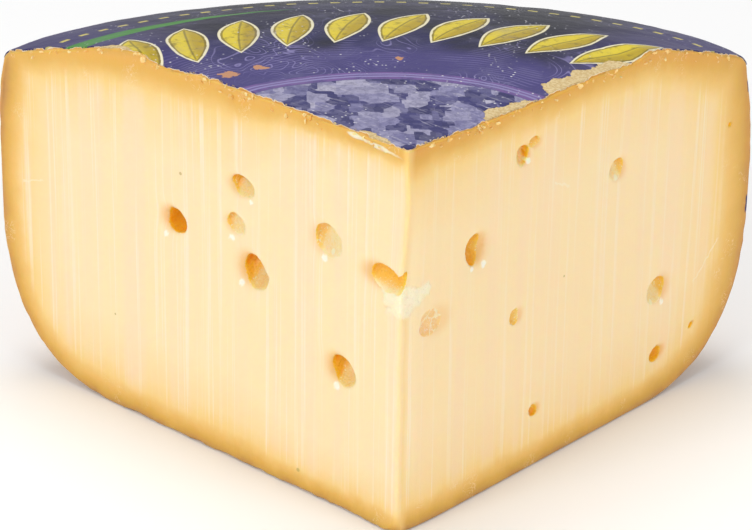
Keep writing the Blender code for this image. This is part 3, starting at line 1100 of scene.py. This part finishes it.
def rind_colour(paint, run):
    """The cheese's colour, amber under the rind and pale inside.

    The amber zone is thinner near the base, and near the tip on the left cut, and wider at the right cut's
    outer end.
    """
    z = paint.split()[2]
    on_right = paint.span(run, -1 * MM, 1 * MM)
    thinner = paint.span(run, -70 * MM, -30 * MM) * (1.0 - on_right) * paint.span(z, 10 * MM, 50 * MM, 0.5)
    wider = paint.span(run, 105 * MM, 145 * MM)
    low = paint.fall(z, 14 * MM, 34 * MM, 0.18)
    scale = 1.0 + (thinner * 0.9 - wider * 0.42 + low) * paint.attribute("on_cut")
    drift = (paint.noise(75.0, 4.0, 0.6) - 0.5) * RIND_DRIFT
    depth = (paint.attribute("rind_depth") + drift) * scale
    colour = paint.ramp(paint.span(depth, 0.0, RIND_SPAN, smoothed=False), RIND_TONES)
    top = paint.span(z, 96 * MM, 110 * MM) * paint.fall(depth, 1 * MM, 7 * MM, 0.65)
    return paint.mix(top, colour, paint.mix(on_right, TOP_AMBER, TOP_AMBER_SHADE)), depth


def scratch(paint, run, height, ends):
    """1 on a thin ragged line between two places on a cut face."""
    x0, z0, x1, z1 = [value * MM for value in ends]
    length = math.hypot(x1 - x0, z1 - z0)
    right, up = (x1 - x0) / length, (z1 - z0) / length
    along = (run - x0) * right + (height - z0) * up
    ragged = (paint.noise(450.0, 2.0) - 0.5) * (2.2 * MM)
    across = abs((run - x0) * up - (height - z0) * right + ragged)
    middle = paint.fall(abs(along - 0.5 * length), 0.4 * length, 0.5 * length)
    return paint.fall(across, 0.15 * MM, 0.4 * MM) * middle


def rim_marks(paint, run, z):
    """Layers for a painted shade line, where the rind turns from the light, and the left-over scraps of film
    along the right cut's outer edge.
    """
    edge = paint.attribute("rind_depth") + (paint.noise(500.0, 2.0) - 0.5) * (0.6 * MM)
    at_end = paint.span(run, 130 * MM, 145 * MM) * paint.attribute("on_cut")
    # Painted shade: a dark line along the right cut's outer edge, where the rind turns from the light.
    layers = [(paint.fall(edge, 0.6 * MM, 1.2 * MM, 0.7) * at_end, RIND_DARK_AND_EDGE_SHADE)]
    for height, size in FILM_SCRAPS:
        near = paint.fall(abs(z - height * MM), 0.6 * size * MM, size * MM)
        layers.append((near * paint.fall(edge, 1.3 * MM, 1.7 * MM) * at_end, INDIGO))
    return layers


def face_marks(paint, run, z, on_cut):
    """Layers for the specks and scratches on the cut faces."""
    layers = []
    for place, height, size in SPECKS:
        away = paint.away(run - place * MM, z - height * MM)
        layers.append((paint.fall(away, 0.5 * size * MM, size * MM, 0.7) * on_cut, SPECK_TONE))
    for ends in SCRATCHES:
        layers.append((scratch(paint, run, z, ends) * on_cut * 0.6, PALE_STREAK))
    return layers


def paste(paint):
    """The cut faces' colour with the knife's streaks, and the streaks' height."""
    z = paint.split()[2]
    run, on_cut = paint.attribute("cut_run"), paint.attribute("on_cut")
    colour, depth = rind_colour(paint, run)
    streaks = paint.noise(1.0, 3.0, 0.6, at=paint.vector(run * 420.0, z * 5.0))
    lines = paint.noise(1.0, 2.0, at=paint.vector(run * 1150.0, z * 11.0, 3.0))
    bands = paint.noise(1.0, 2.0, at=paint.vector(run * 95.0, z * 3.0, 7.0))
    inside = paint.span(depth, 6 * MM, 16 * MM)
    apex = paint.span(run, -2.8 * MM, -0.3 * MM) * paint.fall(run, 1 * MM, 4 * MM, 0.6)
    flakes = abs(paint.noise(380.0, 2.0, 0.5, 1.6) - 0.5)
    flaky = paint.span(paint.noise(90.0, 2.0), 0.58, 0.68) * paint.fall(depth, 7 * MM, 12 * MM)
    scuffs, on_rind = paint.noise(240.0, 5.0, 0.7), 1.0 - on_cut
    colour = paint.layered(colour, (
        (paint.span(bands, 0.46, 0.62) * inside * 0.55, PEACH),
        (paint.span(streaks, 0.52, 0.7) * inside * 0.6, PALE_STREAK),
        (paint.span(lines * streaks, 0.29, 0.38) * inside * 0.5, LINE_TONE),
        (paint.span(run, 2 * MM, 10 * MM) * inside * 0.3, RIGHT_TINT),
        (apex * on_cut, APEX_TONE),
        (paint.fall(flakes, 0.01, 0.03) * flaky * on_cut * 0.35, PALE_STREAK),
        *rim_marks(paint, run, z),
        (paint.span(scuffs, 0.5, 0.72) * on_rind * 0.5, RIND_SCUFF),
        (paint.span(scuffs, 0.5, 0.3) * on_rind * 0.4, RIND_DARK_AND_EDGE_SHADE),
        *face_marks(paint, run, z, on_cut),
    ))
    return colour, streaks + lines * 0.4


def cheese_material():
    """The cut faces and the rind."""
    paint = Paint("cheese")
    colour, streaks = paste(paint)
    glow, shine = paint.attribute("painted_eye_glow"), paint.attribute("painted_highlights")
    crumbly = paint.noise(700.0, 3.0, 0.6)
    fibres = paint.noise(260.0, 3.0, 0.6, 1.0)
    torn = paint.span(paint.attribute("scar") * 0.8 + fibres * 0.7, 0.5, 1.05)
    # Painted white highlights on the eyes' wet lips, broken up by the crumbly grain.
    painted_highlight_mask = paint.span(shine + crumbly * 1.1 - 0.55, 0.25, 1.0)
    # The amber beside the eyes is a painted glow, for light shining through the thin cheese there.
    colour = paint.layered(colour, ((glow * 0.8, PAINTED_EYE_GLOW), (torn, SCAR_TONE), (painted_highlight_mask * 0.85, PAINTED_HIGHLIGHT)))
    paint.set(Base_Color=colour, Roughness=0.48 - (glow + shine) * 0.2, Specular_IOR_Level=0.35,
              Subsurface_Weight=0.5, Subsurface_Radius=(1.0, 0.5, 0.2), Subsurface_Scale=0.005)
    paint.bump(streaks, 0.15 * MM)
    paint.bump(crumbly * torn, 0.6 * MM)
    paint.bump(paint.noise(900.0), 0.07 * MM)
    return paint.material


def chip_material():
    """Pale torn crumbs, some of them amber."""
    paint = Paint("crumbs")
    paint.set(Base_Color=paint.ramp(paint.noise(300.0, 2.0), CHIP_TONES), Roughness=0.5,
              Specular_IOR_Level=0.3, Subsurface_Weight=0.3, Subsurface_Radius=(1.0, 0.5, 0.2),
              Subsurface_Scale=0.001)
    paint.bump(paint.noise(2500.0, 2.0), 0.1 * MM)
    return paint.material


def eye_material():
    """The granular wall of an eye, deep amber or pale, with painted glints and highlights and pale cracks."""
    paint = Paint("eye wall")
    amber, shine, cracked = [paint.attribute(name) for name in ("eye_amber", "painted_highlights", "eye_cracked")]
    grains = paint.noise(1300.0, 2.0)
    half_amber = paint.span(amber, 0.1, 0.3) * paint.fall(amber, 0.5, 0.85)
    painted_glints = paint.span(paint.noise(1900.0, 1.0), 0.62, 0.7) * half_amber
    wander = paint.noise(300.0, 2.0) * (3 * MM)
    bent = paint.vector(*[axis + wander for axis in paint.split()])
    cracks = paint.fall(paint.cells(170.0, feature="DISTANCE_TO_EDGE", at=bent), 0.015, 0.05)
    # The wall's deep amber is partly painted shade, and its pale share painted light on the eye's open side.
    colour = paint.layered(paint.ramp(amber + (grains - 0.5) * 0.35, EYE_TONES), (
        (cracked * 0.7, DISC_TONE),
        # Painted glints on the paler grainy walls; below, pale cracks on the cracked eye and painted
        # highlights on the wet lips.
        (painted_glints * 0.8, PALE_CRACK_AND_HIGHLIGHT),
        (cracks * cracked * 0.6, PALE_CRACK_AND_HIGHLIGHT),
        (paint.span(shine, 0.3, 0.8) * 0.9, PALE_CRACK_AND_HIGHLIGHT),
    ))
    paint.set(Base_Color=colour, Roughness=0.3, Specular_IOR_Level=0.5,
              Subsurface_Weight=0.85, Subsurface_Radius=(1.0, 0.7, 0.18), Subsurface_Scale=0.009)
    paint.bump(grains, 0.3 * MM)
    return paint.material


def ground_print(paint, radius, turn):
    """Dark clouds, violet towards the middle, a painted violet sheen towards both ends, with pale swirls and
    engraved lines.
    """
    clouds = paint.noise(28.0, 3.0, 0.5, 0.6)
    swirls = paint.from_middle(paint.noise(30.0, 1.0, 0.4, 2.2) * 16.0)
    shown = paint.span(paint.noise(36.0, 1.0), 0.44, 0.56)
    engraved = paint.from_middle(radius / 1.5 + paint.noise(32.0, 1.0) * 9.0)
    drawn = paint.span(paint.noise(52.0, 2.0), 0.5, 0.6) * paint.span(radius, 112.0, 96.0, 0.0, 0.4)
    return paint.layered(NAVY, (
        (paint.span(clouds, 0.42, 0.62) * paint.span(radius, 124.0, 98.0, 0.35, 1.0), INDIGO),
        (paint.span(radius, 98.0, 84.0) * 0.8, VIOLET_AND_SHEEN),
        # Painted sheen: violet towards both ends of the film.
        (paint.span(abs(turn - 2.0), 22.0, 40.0, 0.0, 0.6), VIOLET_AND_SHEEN),
        (paint.fall(swirls, 0.03, 0.12) * shown * paint.span(radius, 112.0, 90.0, 0.2, 0.75), LAVENDER),
        (paint.fall(engraved, 0.06, 0.2) * drawn, LAVENDER),
    ))


def facet_print(paint, x, y):
    """Small pale facets, with strokes and grain over them."""
    large, small = [paint.ramp(paint.cells(scale, "Color", distance="CHEBYCHEV"), FACET_TONES)
                    for scale in (170.0, 420.0)]
    strokes = paint.noise(1.0, 2.0, at=paint.vector((x + y) * 0.55, (y - x) * 0.07))
    return paint.layered(large, (
        (0.18, small),
        (paint.span(strokes, 0.6, 0.68) * 0.35, FACET_LIGHT),
        (paint.span(paint.noise(700.0, 3.0, 0.6), 0.45, 0.62) * 0.3, INDIGO),
    ))


def leaf_print(paint, radius, turn):
    """A layer for the ring of leaves, with their dark outlines and ribs and pale borders."""
    inside, side = leaf_ring(paint, radius, turn)
    worn = paint.noise(330.0, 4.0, 0.65)
    leaf = paint.mix(paint.span(side, -1.6, 2.4), YELLOW, OCHRE)
    return paint.span(inside, 0.0, 0.3), paint.layered(leaf, (
        (paint.span(worn, 0.5, 0.7) * 0.6, OLIVE),
        (paint.fall(abs(side), 0.1, 0.5, 0.7) * paint.span(inside, 1.6, 2.2), OLIVE),
        (paint.fall(inside, 1.5, 1.8, 0.75), OLIVE),
        (paint.fall(inside + worn, 1.35, 1.6), CREAM),
    ))


def leaf_ring(paint, radius, turn):
    """How far inside a leaf a place is in mm, below zero outside, and how far to the leaf's side."""
    part = (paint.math("FRACT", turn / LEAF_STEP) - 0.5) * (math.radians(LEAF_STEP) * LEAF_RING)
    up = radius - LEAF_RING
    lean = math.radians(LEAF_LEAN)
    across = part * math.cos(lean) - up * math.sin(lean)
    along = (part * math.sin(lean) + up * math.cos(lean)) / LEAF_LENGTH
    return (1.0 - along * along) * LEAF_WIDTH - abs(across), across


def ring(paint, radius, inner, outer, blur=0.4):
    """1 between two radii in mm."""
    return paint.span(radius, inner - blur, inner) * paint.fall(radius, outer, outer + blur)


def print_colour(paint):
    """The film's printed design: rings about the wheel's axis."""
    x, y = [(value - float(middle)) / MM for value, middle in zip(paint.split(), AXIS[:2])]
    radius = paint.away(x, y)
    turn = paint.math("ARCTAN2", x, y) * math.degrees(1.0)
    rubbed = paint.span(paint.noise(130.0, 4.0, 0.65), 0.36, 0.56, 0.35)
    ribbon = paint.span(turn, *RIBBON_ENDS, RIBBON_WIDTH, 0.0, False) - abs(radius - RIBBON_RADIUS)
    dashes = paint.from_middle(turn / DASH_STEP)
    return paint.layered(ground_print(paint, radius, turn), (
        (paint.span(radius, FACETS_END, FACETS_END - 1.0), facet_print(paint, x, y)),
        (ring(paint, radius, FACETS_END, BAND_END) * rubbed, BAND),
        (ring(paint, radius, *INNER_LINE) + ring(paint, radius, *OUTER_LINE), LAVENDER),
        leaf_print(paint, radius, turn),
        (paint.span(ribbon, 0.0, 0.4), GREEN),
        (paint.fall(dashes, 0.2, 0.24) * ring(paint, radius, *DASH_RING), DASH),
    ))


def worn_print(paint):
    """The print with its specks, scratches, haze and bare spots."""
    x, y, _ = paint.split()
    patches = paint.span(paint.noise(55.0, 2.0), 0.5, 0.6)
    flecks = paint.fall(paint.cells(700.0), 0.12, 0.3) * paint.span(paint.cells(700.0, "Color"), 0.62, 0.66)
    long = paint.noise(1.0, 1.0, at=paint.vector(x * 900.0 + y * 500.0, y * 60.0 - x * 90.0))
    ragged = paint.noise(500.0) * 5.0
    layers = [
        (paint.span(paint.noise(70.0, 5.0, 0.65), 0.5, 0.78) * 0.3, HAZE),
        (flecks * patches, FLECK),
        (paint.span(long, 0.76, 0.79) * patches * 0.8, FLECK),
    ]
    for place_x, place_y, size in BARE_SPOTS:
        away = paint.away(x - place_x * MM, y - place_y * MM) / MM + ragged
        layers.append((paint.fall(away, size + 2.4, size + 2.7), TAN))
    return paint.layered(print_colour(paint), layers)


def film_material():
    """The printed film, with a pale torn border and its backing laid bare."""
    paint = Paint("label film")
    ragged = paint.noise(600.0, 3.0, 0.6) - 0.5
    border = paint.attribute("border") / MM + ragged * 1.1
    torn = paint.span(paint.attribute("torn") / MM + ragged * 2.2, 0.1, 0.35)
    pores = paint.noise(1100.0, 2.0)
    broken = paint.span(paint.noise(210.0, 2.0), 0.45, 0.62, -0.5, 0.15)
    colour = paint.layered(worn_print(paint), (
        (torn, paint.mix(paint.span(pores, 0.4, 0.6), BACKING_PIT, BACKING)),
        (paint.math("LESS_THAN", border, broken), TORN_LINE),
        (paint.math("LESS_THAN", border, broken - 0.25), RIM_AMBER),
    ))
    paint.set(Base_Color=colour, Roughness=0.42 + torn * 0.35, Specular_IOR_Level=0.3)
    paint.bump(pores * torn, 0.4 * MM)
    paint.bump(paint.noise(130.0, 4.0, 0.6), 0.4 * MM)
    paint.bump(paint.noise(900.0, 2.0), 0.04 * MM)
    return paint.material


# Stage

FLOOR_CORNERS = ((-3, -3, -0.0002), (3, -3, -0.0002), (3, 3, -0.0002), (-3, 3, -0.0002))
FLOOR_TONES = ((0.94, 0.94, 0.94), (0.97, 0.97, 0.97))
LIT_PLACE = (0, 0, 0.06)
WORLD_LIGHT = 0.5
LIGHTS = (
    ("key", (-1.0, -1.0, 0.9), 0.7, 9.0),
    ("fill", (1.1, -1.1, 0.7), 0.9, 7.0),
    ("top", (-0.1, 0.35, 1.4), 0.8, 8.0),
)


def set_stage():
    """A pale floor and soft light from all round, from both sides and from above."""
    floor = make_piece("floor", np.array(FLOOR_CORNERS), [(0, 1, 2, 3)], floor_material())
    world = bpy.data.worlds.new("studio")
    world.use_nodes = True
    sky = world.node_tree.nodes["Background"].inputs
    sky["Color"].default_value = (1, 1, 1, 1)
    sky["Strength"].default_value = WORLD_LIGHT
    bpy.context.scene.world = world
    for name, place, size, power in LIGHTS:
        add_light(name, place, size, power)


def floor_material():
    """Pale, even and matt."""
    paint = Paint("floor")
    paint.set(Base_Color=paint.mix(paint.noise(3.0, 2.0), *FLOOR_TONES), Roughness=0.9)
    return paint.material


def add_light(name, place, size, power):
    """A square soft light that faces the wedge."""
    data = bpy.data.lights.new(name, "AREA")
    data.size = size
    data.energy = power
    light = add(name, data)
    light.location = place
    light.rotation_euler = (Vector(LIT_PLACE) - Vector(place)).to_track_quat("-Z", "Y").to_euler()


# The photograph's view, worked out from the wedge's outline
CAMERA_PLACE = (-46.2 * MM, -824.9 * MM, 430.0 * MM)
CAMERA_YAW = math.radians(3.08)       # to the right
CAMERA_PITCH = math.radians(24.83)    # down
CAMERA_ROLL = math.radians(0.88)
CAMERA_LENS = 143.6


def set_camera():
    """The camera at the photograph's viewing angle."""
    data = bpy.data.cameras.new("camera")
    data.lens = CAMERA_LENS
    camera = add("camera", data)
    facing = (Matrix.Rotation(-CAMERA_YAW, 4, "Z") @ Matrix.Rotation(0.5 * math.pi - CAMERA_PITCH, 4, "X")
              @ Matrix.Rotation(CAMERA_ROLL, 4, "Z"))
    camera.matrix_world = Matrix.Translation(CAMERA_PLACE) @ facing
    bpy.context.scene.camera = camera


def main():
    """Makes the pieces with their rides, the stage and the camera."""
    cheese = wedge_mesh(cheese_material())
    cut_eyes(cheese, eye_material())
    mark_cheese(cheese.data)
    cheese.data.shade_smooth()
    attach(cheese, "root")
    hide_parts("cheese")
    crumbs = make_chips(chip_material())
    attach(crumbs, "root")
    film = make_film(film_material())
    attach(film, "root")
    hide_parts("label")
    set_stage()
    set_camera()
    bpy.context.scene.view_settings.view_transform = "Standard"


main()
